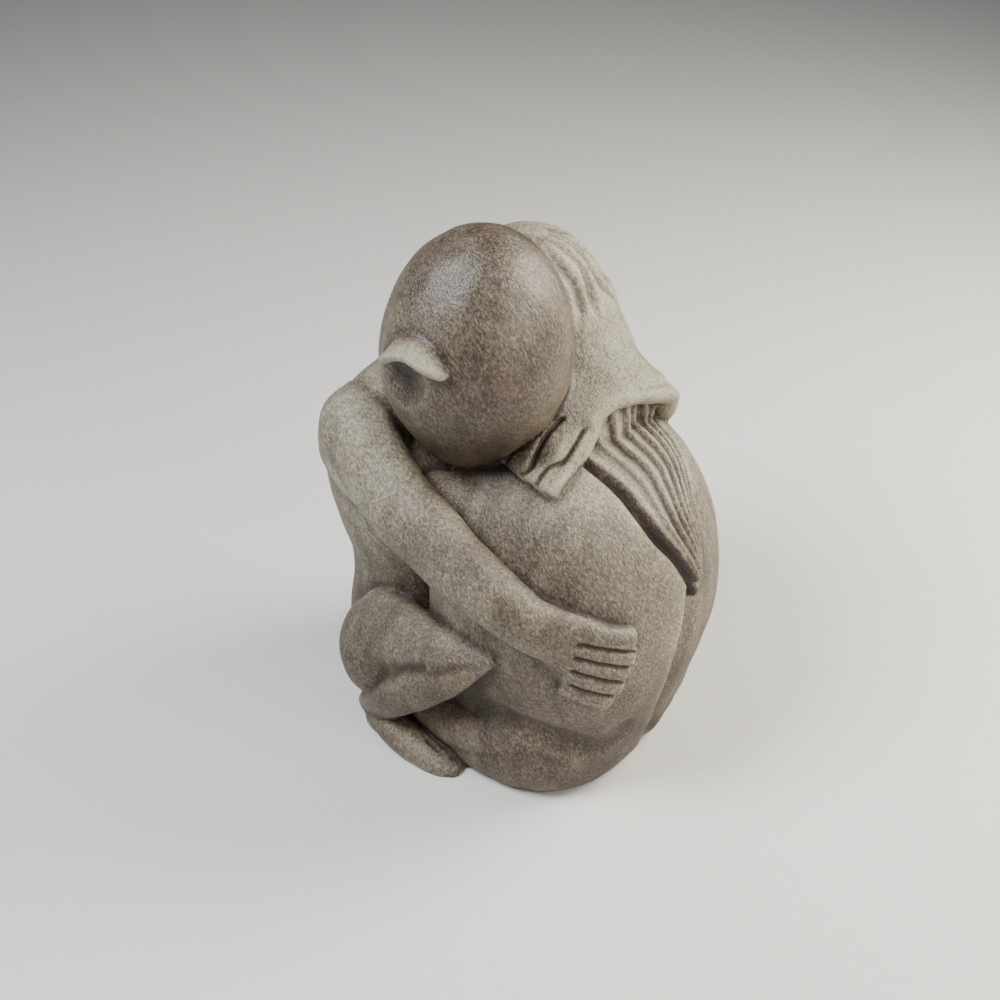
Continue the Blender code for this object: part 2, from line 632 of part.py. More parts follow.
def wood():
    """The wood's colour and sheen."""
    material = bpy.data.materials.new("wood")
    material.use_nodes = True
    shader = material.node_tree.nodes["Principled BSDF"]
    shader.inputs["Base Color"].default_value = WOOD_COLOUR
    shader.inputs["Roughness"].default_value = WOOD_ROUGHNESS
    shader.inputs["Metallic"].default_value = 0.0
    return material


def main():
    for obj in list(bpy.data.objects):
        bpy.data.objects.remove(obj)
    figure = join(masses(), "hug_sculpture")
    fuse(figure)
    blend(figure)
    woman = BVHTree.FromBMesh(standing(WOMAN_BODY, WOMAN_SQUARENESS))
    man = BVHTree.FromBMesh(standing(MAN_BODY, MAN_SQUARENESS))
    gaps = [finger_gaps(woman, NEAR_FINGERS), finger_gaps(woman, FAR_FINGERS)]
    gaps += [finger_gaps(man, WOMAN_FINGERS), finger_gaps(man, FAR_WOMAN_FINGERS)]
    back = [woman, BVHTree.FromBMesh(standing(WOMAN_NAPE)), BVHTree.FromBMesh(ball(*FLARE_CORE))]
    carve(figure, [*CARVED_LINES, *hair_waves(), *itertools.chain(*gaps)], back)
    thin_out(figure)
    cut_base(figure)
    figure.data.materials.append(wood())
    figure.data.shade_smooth()
    figure.data.set_sharp_from_angle(angle=math.radians(50))


main()
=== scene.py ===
import math

import bpy
import numpy as np
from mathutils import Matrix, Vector
from mathutils.bvhtree import BVHTree
from mathutils.kdtree import KDTree


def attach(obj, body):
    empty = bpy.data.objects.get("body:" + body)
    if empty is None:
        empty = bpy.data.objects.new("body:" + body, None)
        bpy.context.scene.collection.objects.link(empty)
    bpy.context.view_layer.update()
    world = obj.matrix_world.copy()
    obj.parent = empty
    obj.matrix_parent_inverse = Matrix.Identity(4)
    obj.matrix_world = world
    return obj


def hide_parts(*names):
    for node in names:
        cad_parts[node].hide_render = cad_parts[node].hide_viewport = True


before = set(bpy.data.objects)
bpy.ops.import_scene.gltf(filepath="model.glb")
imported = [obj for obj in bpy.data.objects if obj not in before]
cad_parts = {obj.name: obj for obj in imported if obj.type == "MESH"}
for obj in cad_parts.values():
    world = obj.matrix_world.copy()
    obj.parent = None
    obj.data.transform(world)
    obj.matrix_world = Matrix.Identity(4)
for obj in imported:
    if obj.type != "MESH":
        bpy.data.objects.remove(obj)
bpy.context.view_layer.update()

# One block of wood. The man faces +X, the woman -X, and the photographed side is -Y.
# Every length below is in carving steps: 204 of them from the table to the man's crown.
block = {
    "height": 0.200,
    "steps": 204,
    "fuseStep": 0.66,      # voxel size of the fused skin
    "softenTimes": 3,
    "finishShare": 0.35,   # how far the carved skin is eased at the end
    "mostFaces": 192000,   # triangles left after thinning
}
gridStep = block["height"] / block["steps"]
alongX = (1.0, 0.0, 0.0)
alongY = (0.0, 1.0, 0.0)
alongZ = (0.0, 0.0, 1.0)
capBends = np.radians((12, 25, 38, 51, 64, 75, 85))   # rings of a domed end, from its rim to its pole
roundSides = 112           # points round a body or a head
headRows = 72              # rings of a head, the first and last this angle from its poles
poleGap = 0.02
levelSteps = 7             # rings from one level of a body to the next
domeShare = 0.7            # height of a domed end, as a share of its smaller half size
rimShare = 0.8             # thickness of a flap's rim, as a share of its root's


# A curve through rows of numbers: between two rows it is a cubic in t whose end slopes come from their neighbours.
def curveThrough(rows, steps):
    rows = np.asarray(rows, float)
    padded = np.vstack([2 * rows[0] - rows[1], rows, 2 * rows[-1] - rows[-2]])
    a, b, c, d = (padded[i:len(padded) - 3 + i, None] for i in range(4))
    t = np.linspace(0, 1, steps, endpoint=False)[None, :, None]
    run = 0.5 * (2 * b + (c - a) * t + (2 * a - 5 * b + 4 * c - d) * t**2 + (3 * b - a - 3 * c + d) * t**3)
    return np.vstack([run.reshape(-1, rows.shape[1]), rows[-1]])


# Unit oval: |x|^n + |y|^n = 1, with n the squareness. Below 2 it has a ridge on each side.
def unitOval(sides, squareness):
    angle = np.linspace(0, 2 * np.pi, sides, endpoint=False)
    x, y = np.cos(angle), np.sin(angle)
    return np.sign(x) * np.abs(x) ** (2 / squareness), np.sign(y) * np.abs(y) ** (2 / squareness)


# Faces of a grid of closed rings, with one point added at each end to close it.
def closeRings(rings):
    count, sides = rings.shape[:2]
    points = np.vstack([rings.reshape(-1, 3), rings[0].mean(0), rings[-1].mean(0)])
    i, j = np.meshgrid(np.arange(count - 1), np.arange(sides), indexing="ij")
    nxt = (j + 1) % sides
    quads = np.stack([i * sides + j, i * sides + nxt, (i + 1) * sides + nxt, (i + 1) * sides + j], -1).reshape(-1, 4)
    k = np.arange(sides)
    low, high = count * sides, count * sides + 1
    first = np.stack([(k + 1) % sides, k, np.full(sides, low)], -1)
    last = np.stack([(count - 1) * sides + k, (count - 1) * sides + (k + 1) % sides, np.full(sides, high)], -1)
    return points, quads, np.vstack([first, last])


# A limb: an oval section carried along a curved path, shrinking to a dome at both ends.
# A row is x, y, z, half width towards `across`, half thickness.
def limb(rows, across, squareness=2.0, dome=domeShare, steps=7, sides=40):
    path = curveThrough(rows, steps)
    heading = np.gradient(path[:, :3], axis=0)
    heading /= np.linalg.norm(heading, axis=1)[:, None]
    for end in (0, -1):
        last, way = path[end], heading[end] * (1 if end else -1)
        cap = np.empty((len(capBends), 5))
        cap[:, :3] = last[:3] + np.outer(np.sin(capBends), way) * dome * min(last[3], last[4])
        cap[:, 3:] = np.outer(np.cos(capBends), last[3:])
        turn = np.repeat(heading[end][None], len(capBends), 0)
        path = np.vstack([path, cap]) if end else np.vstack([cap[::-1], path])
        heading = np.vstack([heading, turn]) if end else np.vstack([turn, heading])
    side = np.asarray(across, float) - (heading @ np.asarray(across, float))[:, None] * heading
    side /= np.linalg.norm(side, axis=1)[:, None]
    up = np.cross(heading, side)
    x, y = unitOval(sides, squareness)
    rings = (path[:, None, :3] + side[:, None] * (path[:, 3, None] * x)[..., None]
             + up[:, None] * (path[:, 4, None] * y)[..., None])
    return closeRings(rings)


# A standing mass: level ovals stacked up Z and domed at the top. A level is z, x, y, half size along X and Y.
def standing(levels, squareness=2.0):
    path = curveThrough(levels, levelSteps)
    last = path[-1]
    cap = np.repeat(last[None], len(capBends), 0)
    cap[:, 0] += domeShare * min(last[3], last[4]) * np.sin(capBends)
    cap[:, 3:] *= np.cos(capBends)[:, None]
    path = np.vstack([path, cap])
    x, y = unitOval(roundSides, squareness)
    rings = np.empty((len(path), roundSides, 3))
    rings[..., 0] = path[:, 1, None] + path[:, 3, None] * x
    rings[..., 1] = path[:, 2, None] + path[:, 4, None] * y
    rings[..., 2] = path[:, 0, None]
    return closeRings(rings)


# A head: an ellipsoid in two angles whose lower half narrows with the square of the depth, leaning about Y.
def headShape(centre, radii, taper=0.0, leanDegrees=0.0):
    down, around = np.meshgrid(np.linspace(poleGap, np.pi - poleGap, headRows),
                               np.linspace(0, 2 * np.pi, roundSides, endpoint=False), indexing="ij")
    z = -np.cos(down)
    narrow = 1 - taper * np.minimum(z, 0) ** 2
    x = np.sin(down) * np.cos(around) * narrow * radii[0]
    y = np.sin(down) * np.sin(around) * narrow * radii[1]
    z = z * radii[2]
    lean = math.radians(leanDegrees)
    rings = np.stack([x * math.cos(lean) + z * math.sin(lean), y, z * math.cos(lean) - x * math.sin(lean)], -1)
    return closeRings(rings + np.asarray(centre, float))


# A flap of even thickness between two lines, such as an ear's root and its rim.
def flap(root, rim, thickness):
    inner, outer = curveThrough(root, 8), curveThrough(rim, 8)
    facing = np.cross(np.gradient((inner + outer) / 2, axis=0), outer - inner)
    facing *= thickness / 2 / np.linalg.norm(facing, axis=1)[:, None]
    rim = rimShare * facing
    return closeRings(np.stack([inner + facing, outer + rim, outer - rim, inner - facing], 1))


# The same rows on the hidden side: Y changes its sign.
def otherSide(rows):
    return [(row[0], -row[1], *row[2:]) for row in rows]


# A surface made ready for finding the nearest place on it.
def skinTree(surface):
    points, quads, tris = surface
    return BVHTree.FromPolygons(points.tolist(), quads.tolist() + tris.tolist())


# Puts a point on a skin and lifts it off along the way the skin faces.
def layOn(tree, point, lift):
    place, facing, _, _ = tree.find_nearest(Vector(point))
    return place + facing * lift, facing


woman = {
    # z, x, y, half size along X and along Y
    "body": ((-6, 24, 0, 32, 43), (0, 24.5, 0, 36, 47), (5, 25, 0, 38.5, 50.5), (12, 25.5, 0, 40, 52),
             (20, 26.5, 0, 41.8, 50.5), (32, 27.5, 0, 44, 46.5), (43, 28.5, 0, 46, 49), (54, 29.5, 0, 46.8, 51.5),
             (66, 30, 0, 47, 52), (77, 30, 0, 46, 51), (90, 30, 0, 44, 48.5), (101, 29, 0, 41, 45.5),
             (112, 27, 0, 36, 42), (120, 24, 0, 29, 37), (127, 20, 0, 18, 30)),
    "squareness": 2.5,
    "nape": ((116, 20, 4, 22, 28), (128, 19.5, 9, 22, 27), (138, 16.5, 13, 23.5, 26.5), (148, 10, 15, 26, 27),
             (158, 1, 16, 28, 27.3)),
    "headCentre": (-2, 16, 154.5),
    "headRadii": (28.5, 27.5, 32),
    "nose": ((-27, 16, 163, 1.6, 2), (-29.5, 16, 157, 1.8, 2.4), (-31, 16, 151.5, 2.6, 2.6)),
    "thigh": ((40, -30, 17, 19, 17), (24, -35, 17, 17, 16), (8, -37, 16, 15, 14), (-4, -36, 15, 12.5, 12),
              (-18, -32, 13, 12, 11)),
    "arm": ((12, -24, 100, 11, 10), (-4, -30, 99, 10, 9), (-28, -39, 103, 10, 8.5), (-48, -34, 108, 9, 7),
            (-60, -22, 109, 9, 5), (-64, -8, 109, 10, 3.5)),
    "farHandDrop": 32,     # her far hand lies this much lower on his back
    "armDrops": (0, 0.2, 0.5, 0.8, 1, 1),
    # knuckle, end and width
    "fingers": (((-62, -4, 115), (-64, 10, 118), 7.4), ((-64, -3, 110.5), (-65, 14, 111.5), 7.4),
                ((-64, -3, 106), (-66, 14, 105), 7.4), ((-65, -4, 101.5), (-66, 10, 98.5), 7.4)),
}
man = {
    "body": ((-6, -29, 0, 24, 30), (0, -30, 0, 28.5, 33), (8, -30.5, 0, 31, 36), (20, -31, 0, 32, 37.5),
             (34, -31, 0, 31, 37), (48, -31, 0, 29, 35), (62, -31, 0, 29.5, 35.5), (78, -31, 0, 32.5, 40),
             (92, -31, 0, 34.5, 43), (104, -31, 0, 34.5, 43.5), (116, -31, 0, 31, 42), (126, -29, 0, 23, 36)),
    "squareness": 2.3,
    "headCentre": (5, -25, 160.2),
    "headRadii": (31.5, 30.5, 44),
    "headTaper": 0.34,
    "headLean": 8,
    "shoulders": ((-31, -42, 126, 14, 14), (-29, -20, 131, 16, 15), (-29, 4, 131, 16, 15), (-31, 42, 126, 14, 14)),
    "neck": ((-27, -8, 126, 17, 15), (-16, -16, 142, 18, 16), (-4, -22, 154, 20, 18)),
    "earRoot": ((-12, -48, 163.5), (-5.8, -49, 173.6), (1.5, -49.5, 177), (6.8, -50, 176.6), (11, -50.5, 174),
                (14, -50, 169)),
    "earRim": ((-9.5, -56, 166.8), (0, -60.5, 172.8), (5.7, -61.8, 174.2), (9.5, -61.2, 172.6), (12.5, -59.6, 170.6),
               (15, -55.8, 168)),
    "earThickness": 3.6,
    "earHollow": ((-3.5, -57, 163), 12.5, 4.2),   # centre, reach and depth
    "hollowWithin": 1.03,  # the hollow stays on his head, up to this share of its radii
    "nearArm": ((-35, -33, 121, 12, 12), (-31, -43.5, 129, 14, 13), (-17, -50, 119, 13.5, 12),
                (-3, -54, 112, 13, 11.5), (8, -55.5, 107, 12.8, 11), (19, -56.5, 101, 12.2, 10.5),
                (32, -56.5, 95, 11, 9.5), (44, -54, 87.5, 10, 7.6), (52, -49.5, 82, 10.8, 5.6),
                (58, -44.6, 77, 12, 4.2), (62, -41, 73, 12.4, 3.2)),
    "farArm": ((-35, 33, 121, 12, 12), (-31, 44, 129, 14, 13.5), (-14, 49, 121, 13, 12),
                (10, 48.5, 115, 12, 11), (28, 43, 116.5, 10.5, 9.5), (39, 36.5, 123, 7, 7),
                (44, 32, 129.5, 4.2, 5)),
    "farForearm": ((44.5, 31.5, 130.8, 6, 3.4), (42, 24, 135.5, 8, 4.4), (38.5, 12, 139.8, 8.5, 4.6),
                (35, 1, 141.6, 9, 4.6), (32, -8, 139.5, 10, 4.4)),
    # the far hand's back, its width taken along palmAcross
    "palm": ((32, 4, 146, 9, 4.6), (32.2, -4, 142.6, 10, 4.8), (31.8, -11.5, 138.6, 11.4, 4.6),
             (30.8, -18.4, 135.2, 12.6, 4), (30.4, -24.4, 131.8, 13, 3)),
    "palmAcross": (0.83, 0.41, -0.38),
    "palmSquareness": 2.4,
    # cloth or hair spread over the far elbow: its line on her shoulder and its free lower edge
    "flareTop": ((29, -3, 147), (29.5, 6, 152.5), (29, 16, 153.5), (29, 24, 149.5), (31, 30, 142)),
    "flareEdge": ((39.5, 0, 141.5), (43, 8, 142.6), (46, 17, 140.6), (47.3, 25, 137.6), (45.3, 31, 132.8)),
    "flareThickness": 5,
    "sleeve": ((39, 31, 133, 6, 6), (34, 22, 139, 9, 8), (29, 11, 143, 10, 8), (25, 1, 145, 9, 7)),
    "thigh": ((-26, -40, 40, 17, 15), (-6, -47, 50, 12.5, 11), (12, -51, 57, 9, 8), (29, -52, 62, 2.6, 2.6)),
    "thighSquareness": 1.7,
    # what joins thigh and shin just behind the knee
    "kneeTop": ((30, -49, 62), (20, -51.5, 60), (12, -54, 58), (7, -54.5, 56.5)),
    "kneeUnder": ((30, -49, 61), (20, -52, 54.5), (12, -55, 49.5), (7, -55.5, 47.5)),
    "kneeThickness": 10.5,
    "hipCentre": (-27, -41, 33),
    "hipRadii": (17, 16, 22),
    "shin": ((29, -52, 61.4, 2.6, 2.6), (10, -53, 46, 8.5, 8.4), (-10, -51.5, 28, 9.5, 8.4),
             (-28, -46, 9, 7.5, 7)),
    "shinTilt": 0.5,       # its ridge is turned up by this share
    "shinSquareness": 1.6,
    "foot": ((-26, -47, 6, 6, 7), (-12, -51.8, 5.5, 6, 5.8), (0, -52.8, 4, 6.4, 5.2),
             (8, -52.3, 2.4, 6, 4.2), (13, -51.3, 1, 4.4, 3)),
    "footSquareness": 3,
    # knuckle, end and width
    "nearFingers": (((55, -44.6, 83.9), (69.8, -30.8, 76.6), 8.4), ((55.5, -45.5, 78.6), (70.6, -31.2, 70.5), 8),
                    ((55.5, -46.5, 73.5), (69.8, -33.6, 65.3), 7.6), ((55.5, -47, 68), (68.9, -34.8, 59.6), 7.6),
                    ((55.5, -47, 62.3), (66.8, -36.8, 54.6), 7.4)),
    "farFingers": (((21.5, -13, 137), (19.6, -29.5, 127.9), 7.6), ((26.5, -12, 137), (24.6, -31, 126.4), 7.6),
                   ((31.5, -10, 136), (30.6, -32, 124.2), 8), ((36.2, -6, 132.8), (36.9, -32.4, 122.6), 8.6)),
}
herFarFingers = tuple(((x, -y, z - woman["farHandDrop"]), (endX, -endY, endZ - woman["farHandDrop"]), width)
                      for (x, y, z), (endX, endY, endZ), width in woman["fingers"])
fingerShape = {
    "thickness": 5.6,
    "lift": 1.0,           # middle of a finger above the skin it lies on, at both ends
    "arch": 0.4,           # and this much more halfway
    "squareness": 3.6,
    "dome": 0.3,
    "gapWidth": 0.95,      # half width of the groove between two fingers
    "gapDepth": 1.5,
    "gapAt": (0.12, 0.33, 0.54, 0.75, 1.1),   # shares of the finger's length that the groove runs through
}
core = {"centre": (-2, 36, 106), "radii": (12.5, 11, 10)}   # wood left between the bodies under each arm,
flareCore = {"centre": (36, 26, 126), "radii": (7, 8, 7)}   # under the far forearm
legCore = {"centre": (-5, 41, 32), "radii": (9, 6, 10)}     # and between thigh and shin


# A squared finger on the skin from knuckle to end, lifted by a fixed height plus half a sine wave.
def finger(tree, knuckle, end, width):
    rows = []
    for t in np.linspace(0, 1, 7):
        lift = fingerShape["lift"] + fingerShape["arch"] * math.sin(math.pi * t)
        point, facing = layOn(tree, Vector(knuckle).lerp(Vector(end), t), lift)
        rows.append((*point, width / 2, fingerShape["thickness"] / 2))
    across = facing.cross(Vector(end) - Vector(knuckle)).normalized()
    return limb(rows, across, fingerShape["squareness"], fingerShape["dome"], steps=4, sides=28)


# The line between each two fingers: halfway from one to the other, on top of their thickness.
def gapsBetween(tree, fingers):
    top = fingerShape["lift"] + fingerShape["thickness"] / 2
    for (knuckle, end, _), (nextKnuckle, nextEnd, _) in zip(fingers, fingers[1:]):
        line = []
        for t in fingerShape["gapAt"]:
            here, there = Vector(knuckle).lerp(Vector(end), t), Vector(nextKnuckle).lerp(Vector(nextEnd), t)
            line.append(tuple(layOn(tree, (here + there) / 2, top)[0]))
        yield line


herBack = standing(woman["body"], woman["squareness"])
hisBack = standing(man["body"], man["squareness"])
herNape = standing(woman["nape"])
underFlare = headShape(flareCore["centre"], flareCore["radii"])
herTree, hisTree = skinTree(herBack), skinTree(hisBack)
backTrees = (herTree, skinTree(herNape), skinTree(underFlare))


# Every mass of the two figures, one closed surface after another.
def allMasses():
    yield from (herBack, hisBack, herNape)
    yield headShape(man["headCentre"], man["headRadii"], man["headTaper"], man["headLean"])
    yield headShape(woman["headCentre"], woman["headRadii"])
    yield flap(man["earRoot"], man["earRim"], man["earThickness"])
    yield limb(woman["nose"], alongY)
    yield limb(man["shoulders"], alongZ)
    yield limb(man["neck"], alongY)
    yield limb(man["nearArm"], alongZ)
    yield limb(man["farArm"], alongZ)
    yield limb(man["farForearm"], alongX)
    yield limb(man["sleeve"], alongX)
    yield limb(man["palm"], man["palmAcross"], man["palmSquareness"])
    yield flap(man["flareTop"], man["flareEdge"], man["flareThickness"])
    yield limb(woman["arm"], alongZ)
    yield limb([(x, -y, z - woman["farHandDrop"] * share, wide, thick)
                for (x, y, z, wide, thick), share in zip(woman["arm"], woman["armDrops"])], alongZ)
    for knuckle, end, width in man["nearFingers"] + man["farFingers"]:
        yield finger(herTree, knuckle, end, width)
    for knuckle, end, width in woman["fingers"] + herFarFingers:
        yield finger(hisTree, knuckle, end, width)
    yield underFlare
    for side, mirror in ((1, list), (-1, otherSide)):
        x, y, z = core["centre"]
        yield headShape((x, -side * y, z), core["radii"])
        x, y, z = legCore["centre"]
        yield headShape((x, side * y, z), legCore["radii"])
        x, y, z = man["hipCentre"]
        yield headShape((x, side * y, z), man["hipRadii"])
        yield limb(mirror(man["thigh"]), alongZ, man["thighSquareness"])
        yield flap(mirror(man["kneeTop"]), mirror(man["kneeUnder"]), man["kneeThickness"])
        yield limb(mirror(man["shin"]), (0, side * man["shinTilt"], 1), man["shinSquareness"])
        yield limb(mirror(man["foot"]), alongY, man["footSquareness"])
        yield limb(mirror(woman["thigh"]), alongY)


# Joins surfaces into one object, still overlapping.
def gather(surfaces, name):
    points, faces, start = [], [], 0
    for verts, quads, tris in surfaces:
        points.append(verts)
        faces += (quads + start).tolist() + (tris + start).tolist()
        start += len(verts)
    mesh = bpy.data.meshes.new(name)
    mesh.from_pydata(np.vstack(points).tolist(), [], faces)
    mesh.validate()
    piece = bpy.data.objects.new(name, mesh)
    bpy.context.scene.collection.objects.link(piece)
    return piece


# Puts what a piece's modifiers make in the place of its mesh.
def applyModifiers(piece):
    bpy.context.view_layer.update()
    mesh = bpy.data.meshes.new_from_object(piece.evaluated_get(bpy.context.evaluated_depsgraph_get()))
    piece.modifiers.clear()
    piece.data = mesh


# Places ("co") or facings ("normal") of a mesh's points, a row of three for each.
def readPoints(mesh, what="co"):
    flat = np.empty(len(mesh.vertices) * 3, np.float32)
    mesh.vertices.foreach_get(what, flat)
    return flat.reshape(-1, 3).astype(float)


# Moves a mesh's points to new places, given in the same order.
def writePoints(mesh, points):
    mesh.vertices.foreach_set("co", points.astype(np.float32).ravel())
    mesh.update()


# The numbers of the two points of each edge.
def readEdges(mesh):
    flat = np.empty(len(mesh.edges) * 2, np.int32)
    mesh.edges.foreach_get("vertices", flat)
    return flat.reshape(-1, 2)


# Points made ready for finding the nearest of them.
def pointTree(points):
    tree = KDTree(len(points))
    for number, point in enumerate(points.tolist()):
        tree.insert(point, number)
    tree.balance()
    return tree


# Moves every value part of the way to the mean of its neighbours along the edges.
def relax(values, edges, times, share=0.5):
    count = len(values)
    values = values.reshape(count, -1)
    degree = np.maximum(np.bincount(edges.ravel(), minlength=count), 1)[:, None]
    share = np.broadcast_to(share, count)[:, None]
    for _ in range(times):
        columns = [np.bincount(edges[:, 0], values[edges[:, 1], k], count)
                   + np.bincount(edges[:, 1], values[edges[:, 0], k], count) for k in range(values.shape[1])]
        values = values + share * (np.stack(columns, -1) / degree - values)
    return values


# Distance from each point to a line of short straight runs.
def lineDistance(points, line):
    nearest = np.full(len(points), np.inf)
    for start, end in zip(line, line[1:]):
        run = end - start
        share = np.clip((points - start) @ run / (run @ run), 0, 1)
        nearest = np.minimum(nearest, np.linalg.norm(points - start - share[:, None] * run, axis=1))
    return nearest


# Straight distance from each point to a centre.
def distanceTo(points, centre):
    return np.linalg.norm(points - np.array(centre), axis=1)


# Distance from the middle of the man's head, in shares of its radii: 1 on its skin.
def headDistance(points):
    return np.linalg.norm((points - np.array(man["headCentre"])) / np.array(man["headRadii"]), axis=1)


# How much a place is within a reach: the rim less the square of distance over reach, from 0 to 1.
def nearness(distance, reach, rim=1.0):
    return np.clip(rim - (distance / reach) ** 2, 0, 1)


# Where masses run into each other without a crease: centre and reach.
blends = (
    ((27, 17, 148), 21), ((36, 27, 141), 11), ((22, 20, 150), 20), ((16, 4, 146), 16),
    ((2, -40, 116), 12), ((50, -50, 83), 11), ((-22, -48, 47), 18), ((55, -47, 73), 12),
    ((33, -2, 143), 13), ((31, -16, 138), 9),
)
blending = {"times": 100, "gain": 1.6, "share": 0.5}

# Gouge cuts: half width, depth, and the points that each runs through. A cut is deepest along its line.
cutPower = 1.5             # of the nearness to the line: above 1, the cut's rims are eased
lineSteps = 6              # straight runs from one point of a line to the next
cuts = {
    "hipFold": (7, 1.3, ((14, -52, 31), (28, -50, 34), (39.5, -47, 33), (50, -43, 31), (60, -33, 26), (66, -24, 30))),
    "manSpine": (6, 1.6, ((-60, 0, 74), (-60, 0, 55), (-59, 0, 35), (-57, 0, 12))),
    "toes": (1.3, 1.0, ((1, -52.3, 8.8), (5, -53, 7.2), (9.5, -54.3, 4.6), (13, -55, 1.5))),
}
drillHoles = {
    "radius": 1.0,
    "depth": 2.2,
    "rim": 1.2,            # above 1, the hole has a flat bottom
    "centres": ((28.3, -34.5, 127), (34.5, -34.5, 125.5), (41.5, -14, 126)),
}
hairWaves = {
    "count": 7,
    "halfWidth": 2.8,
    "depth": 1.3,
    "first": 14,           # degrees from the top of her head at which a wave starts
    "sweep": 68,           # and over which it runs down
    "spread": 62,          # degrees from the middle wave to the outermost
    "sway": 0.09,          # radians that a wave swings to each side
    "swing": 7,            # radians of that sine in a wave's length
    "phase": 1.7,          # and from one wave to the next
}
# Closed eyes and a mouth on the hidden face, calm and plain: y and z from the head's middle.
faceCut = {"halfWidth": 1.0, "depth": 0.7}
faceLines = (
    ((-13, 5.5), (-9.5, 3.8), (-6, 5)),
    ((13, 5.5), (9.5, 3.8), (6, 5)),
    ((-4.5, -9.5), (0, -9), (4.5, -9.5)),
)


# The waves of hair over her head: lines down an ellipsoid, at equal angles, each swung by a sine of its length.
def waveLines():
    centre, radii = np.array(woman["headCentre"], float), np.array(woman["headRadii"], float)
    t = np.linspace(0, 1, 24)
    lean = np.radians(hairWaves["first"] + hairWaves["sweep"] * t)
    for wave in range(hairWaves["count"]):
        middleWay = math.radians(2 * hairWaves["spread"] * wave / (hairWaves["count"] - 1) - hairWaves["spread"])
        side = middleWay + hairWaves["sway"] * np.sin(hairWaves["swing"] * t + hairWaves["phase"] * wave)
        line = centre + radii * np.stack([np.sin(lean) * np.cos(side), np.sin(lean) * np.sin(side), np.cos(lean)], -1)
        yield hairWaves["halfWidth"], hairWaves["depth"], line


# The marks of her face, laid on the ellipsoid: x follows from (x / a)^2 + (y / b)^2 + (z / c)^2 = 1.
def hiddenFaceLines():
    centre, (a, b, c) = woman["headCentre"], woman["headRadii"]
    for marks in faceLines:
        line = [(centre[0] - a * math.sqrt(1 - (y / b) ** 2 - (z / c) ** 2), centre[1] + y, centre[2] + z)
                for y, z in marks]
        yield faceCut["halfWidth"], faceCut["depth"], line


# The loose hair on her back. `way` is the measure down it; a row of edges gives that measure and the reach of the
# leaf along Y on its two sides. Crests are shares of its width.
hairFall = {
    "way": (-0.588, 0.0, 0.809),
    "edges": ((15.5, 4.4, 6.0), (19, 2.6, 8.6), (24, 0.2, 10.8), (34, -5.2, 11.8), (41, -9, 13), (48, -11.5, 15.1),
              (57, -12.9, 21.5), (64, -12.5, 26), (77, -13.2, 30), (92, -14, 33)),
    "crests": (0, 0.22, 0.385, 0.55, 0.70, 0.83, 0.93, 1.0),
    "lift": 2.6,
    "liftShare": 0.55,     # share of the width over which the leaf sinks into her back again
    "topThickness": 0.45,  # at its top the leaf is this much of its full thickness, reached `thickenOver` lower
    "thickenOver": 45,
    "tipThickness": 0.4,   # and at its tip this much, rising over `tipRamp`
    "tipRamp": 8,
    "pleatDepth": 1.9,
    "fullSlat": 3.5,       # a slat narrower than this is shallower
    "undercutWidth": 3.2,
    "undercutDepth": 2.0,
    "undercutPower": 0.6,  # below 1, the undercut is deepest near the loose edge
    "undercutTo": 84,      # nothing is cut away beside the hand
    "undercutRamp": 8,
    "riser": 1.5,          # width of the small step up to the next crest
    "edgeRamp": 0.7,
    "firstPleat": 0.55,    # the first pleat falls this much of the others' depth
    "shadeWidth": 2.2,     # of the dark line along the loose edge, whose middle lies `shadeIn` from it on the leaf
    "shadeIn": 0.4,
}
spine = {
    # z and y, from the top down
    "edge": ((82, -1), (77.6, -2.3), (70, -4.7), (64, -6.8), (54, -8.4), (36, -9.4), (12, -6), (-2, -5)),
    "width": 11,
    "depth": 3.4,
    "leastX": 48,
}
# Hair and spine are carved on her back alone: within these limits, no farther than `reach` from the smooth skin, and
# where the surface faces as that skin does.
backLimits = {"leastX": 30, "mostY": 34, "mostZ": 139, "reach": 2.4, "leastFacing": 0.6, "facingRamp": 0.25}
# Slow waves left by the rasp. Wave n runs along the direction at n turns, and is `longer` times n longer.
rasp = {"waves": 14, "turn": 2.4, "rise": 0.9, "riseTurn": 3.1, "shortest": 7, "longer": 1.3, "phase": 1.9,
        "height": 0.045}


